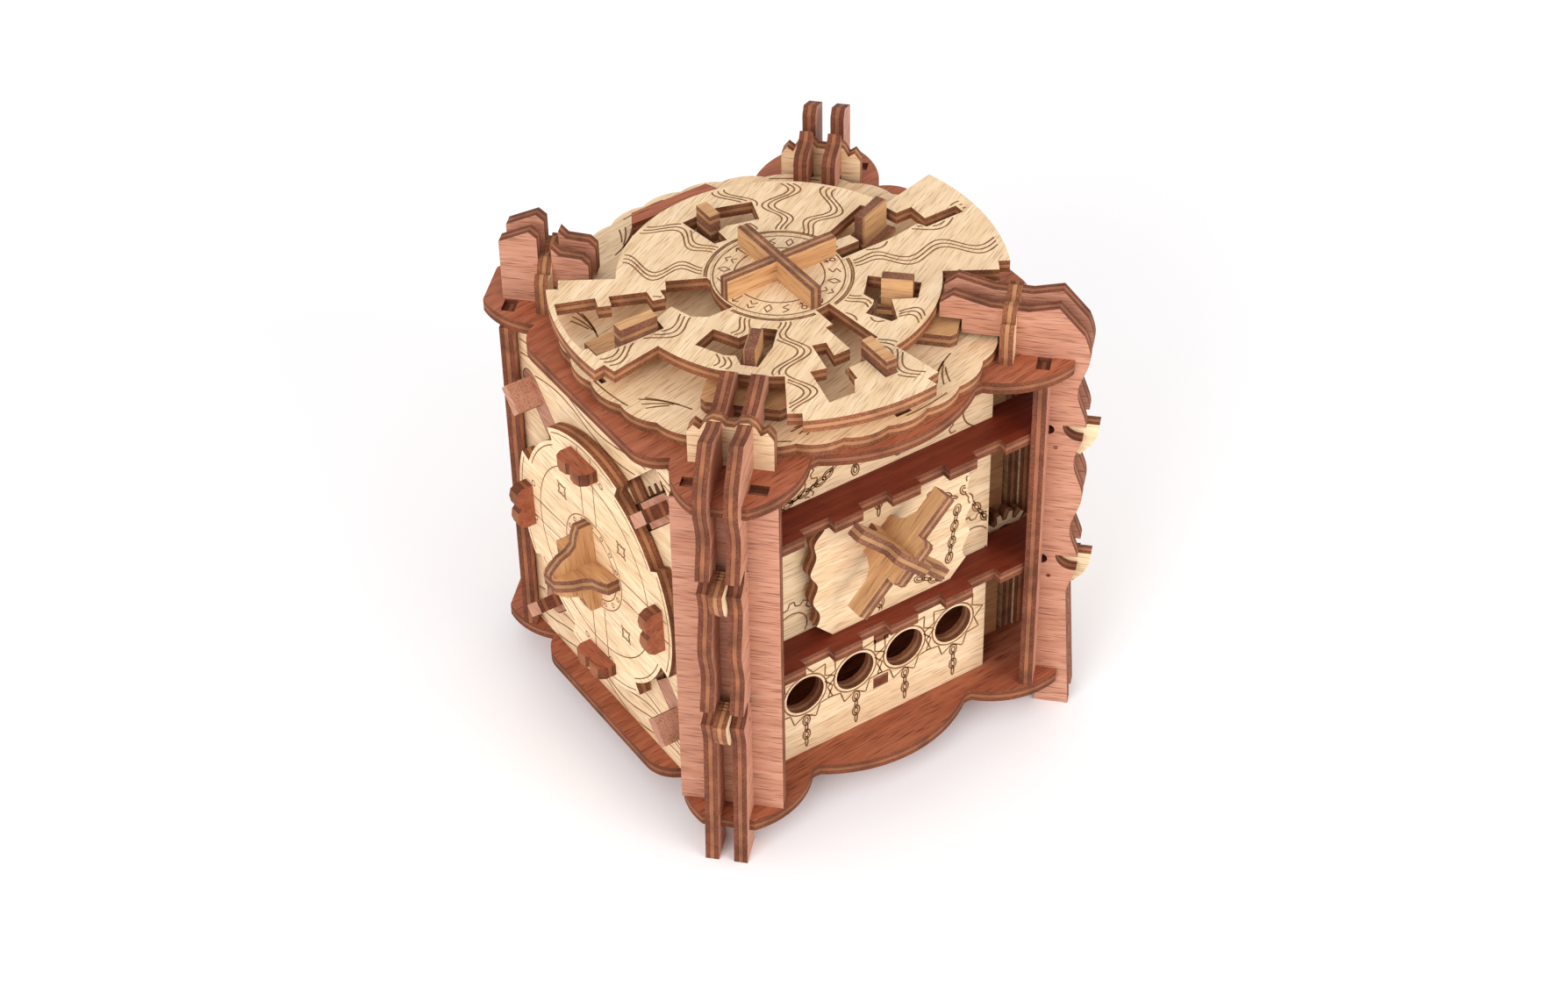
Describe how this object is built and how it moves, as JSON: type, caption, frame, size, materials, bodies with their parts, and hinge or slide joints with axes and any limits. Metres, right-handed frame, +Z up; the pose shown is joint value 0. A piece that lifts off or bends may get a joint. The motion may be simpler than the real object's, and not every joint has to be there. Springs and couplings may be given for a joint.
{
  "type": "wooden puzzle box",
  "caption": "Laser-cut plywood puzzle box with a slotted sun disc, sliding pegs, geared side dial, pull sliders, thumb latches and a front knob.",
  "frame": {"origin": "under the middle of the object's overall box, at the level of its feet", "axes": "+Z up, -Y out of the front with the four portholes, -X out of the side with the dial"},
  "size_m": [0.1488, 0.1396, 0.1573],
  "materials": {
    "light_ply": "satin, laser-cut birch-faced plywood with browned edges",
    "dark_ply": "satin, reddish-brown stained plywood with browned edges"
  },
  "bodies": {
    "case": {"base_plate": "dark_ply", "top_plate": "dark_ply", "board_ne": "dark_ply", "board_nw": "dark_ply", "board_sw": "dark_ply", "board_se": "dark_ply", "fin_ne_a": "dark_ply", "fin_ne_b": "dark_ply", "fin_nw_a": "dark_ply", "fin_nw_b": "dark_ply", "fin_sw_a": "dark_ply", "fin_sw_b": "dark_ply", "fin_se_a": "dark_ply", "fin_se_b": "dark_ply", "collar_ne": "light_ply", "collar_nw": "light_ply", "collar_sw": "light_ply", "collar_se": "light_ply", "latch_pins": "dark_ply", "left_wall": "light_ply", "right_wall": "light_ply", "back_wall": "light_ply", "front_panel": "light_ply", "ledge_lower": "dark_ply", "ledge_upper": "dark_ply", "slat_a": "light_ply", "slat_b": "light_ply", "scallop_disc": "light_ply", "top_post": "light_ply", "back_bar": "dark_ply"},
    "sun": {"sun_disc": "light_ply"},
    "hub": {"hub_disc": "light_ply", "hub_slat_x": "light_ply", "hub_slat_y": "light_ply"},
    "peg_left": {"peg_left": "light_ply"},
    "peg_front": {"peg_front": "light_ply"},
    "peg_right": {"peg_right": "light_ply"},
    "peg_back": {"peg_back": "light_ply"},
    "peg_fl": {"peg_fl": "light_ply"},
    "peg_fr": {"peg_fr": "light_ply"},
    "bolt_sw": {"bolt_sw": "light_ply"},
    "bolt_se": {"bolt_se": "light_ply"},
    "dial": {"dial_disc": "light_ply", "dial_tabs": "dark_ply", "dial_slat_a": "light_ply", "dial_slat_b": "light_ply", "dial_pinion": "light_ply"},
    "rack": {"rack": "light_ply"},
    "slider_ur": {"slider_ur": "dark_ply"},
    "slider_ul": {"slider_ul": "dark_ply"},
    "slider_ll": {"slider_ll": "dark_ply"},
    "slider_lr": {"slider_lr": "dark_ply"},
    "shield": {"shield": "light_ply"},
    "knob": {"cross_slat_p": "light_ply", "cross_slat_q": "light_ply"},
    "latch_sw_low": {"latch_sw_low": "light_ply"},
    "latch_sw_high": {"latch_sw_high": "light_ply"},
    "latch_se_low": {"latch_se_low": "light_ply"},
    "latch_se_high": {"latch_se_high": "light_ply"},
    "wheel": {"wheel": "light_ply"}
  },
  "joints": [
    {"name": "sun_turn", "type": "hinge", "parent": "case", "child": "sun", "pos_m": [0.00641, 0.0031, 0.145], "axis": [0, 0, 1], "range_deg": [-1, 19]},
    {"name": "hub_turn", "type": "hinge", "parent": "case", "child": "hub", "pos_m": [0.00641, 0.0031, 0.145], "axis": [0, 0, 1], "continuous": true},
    {"name": "peg_left_slide", "type": "slide", "parent": "sun", "child": "peg_left", "axis": [-1, 0, 0], "range_m": [0, 0.007]},
    {"name": "peg_front_slide", "type": "slide", "parent": "sun", "child": "peg_front", "axis": [0, 1, 0], "range_m": [0, 0.012]},
    {"name": "peg_right_slide", "type": "slide", "parent": "sun", "child": "peg_right", "axis": [-0.9272, -0.3746, 0], "range_m": [0, 0.0022]},
    {"name": "peg_back_slide", "type": "slide", "parent": "sun", "child": "peg_back", "axis": [1, 0, 0], "range_m": [0, 0.006]},
    {"name": "peg_fl_slide", "type": "slide", "parent": "sun", "child": "peg_fl", "axis": [0.7071, 0.7071, 0], "range_m": [0, 0.004]},
    {"name": "peg_fr_slide", "type": "slide", "parent": "sun", "child": "peg_fr", "axis": [-0.7314, 0.682, 0], "range_m": [0, 0.0035]},
    {"name": "bolt_sw_slide", "type": "slide", "parent": "case", "child": "bolt_sw", "axis": [0.7071, 0.7071, 0], "range_m": [0, 0.005]},
    {"name": "bolt_se_slide", "type": "slide", "parent": "case", "child": "bolt_se", "axis": [-0.7071, 0.7071, 0], "range_m": [0, 0.005]},
    {"name": "dial_turn", "type": "hinge", "parent": "case", "child": "dial", "pos_m": [-0.05469, 0.0031, 0.0715], "axis": [-1, 0, 0], "range_deg": [-36, 36]},
    {"name": "rack_slide", "type": "slide", "parent": "case", "child": "rack", "axis": [0, -0.7071, 0.7071], "range_m": [-0.008, 0.008]},
    {"name": "slider_ur_slide", "type": "slide", "parent": "case", "child": "slider_ur", "axis": [0, 0.7071, -0.7071], "range_m": [0, 0.005]},
    {"name": "slider_ul_slide", "type": "slide", "parent": "case", "child": "slider_ul", "axis": [0, -0.7071, -0.7071], "range_m": [0, 0.005]},
    {"name": "slider_ll_slide", "type": "slide", "parent": "case", "child": "slider_ll", "axis": [0, -0.7071, 0.7071], "range_m": [0, 0.005]},
    {"name": "slider_lr_slide", "type": "slide", "parent": "case", "child": "slider_lr", "axis": [0, 0.7071, 0.7071], "range_m": [0, 0.005]},
    {"name": "shield_slide", "type": "slide", "parent": "case", "child": "shield", "axis": [1, 0, 0], "range_m": [-0.004, 0.004]},
    {"name": "knob_turn", "type": "hinge", "parent": "shield", "child": "knob", "pos_m": [0.00221, -0.0533, 0.092], "axis": [0, -1, 0], "continuous": true},
    {"name": "latch_sw_low_swing", "type": "hinge", "parent": "case", "child": "latch_sw_low", "pos_m": [-0.05122, -0.05453, 0.0513], "axis": [0.7071, -0.7071, 0], "range_deg": [0, 15]},
    {"name": "latch_sw_high_swing", "type": "hinge", "parent": "case", "child": "latch_sw_high", "pos_m": [-0.05122, -0.05453, 0.1006], "axis": [0.7071, -0.7071, 0], "range_deg": [0, 15]},
    {"name": "latch_se_low_swing", "type": "hinge", "parent": "case", "child": "latch_se_low", "pos_m": [0.06404, -0.05453, 0.0513], "axis": [0.7071, 0.7071, 0], "range_deg": [0, 15]},
    {"name": "latch_se_high_swing", "type": "hinge", "parent": "case", "child": "latch_se_high", "pos_m": [0.06404, -0.05453, 0.1006], "axis": [0.7071, 0.7071, 0], "range_deg": [0, 15]},
    {"name": "wheel_turn", "type": "hinge", "parent": "case", "child": "wheel", "pos_m": [0.05511, -0.0407, 0.056], "axis": [0, 1, 0], "continuous": true}
  ],
  "couplings": [
    {"joint": "rack_slide", "follows": "dial_turn", "m_per_rad": -0.012}
  ]
}
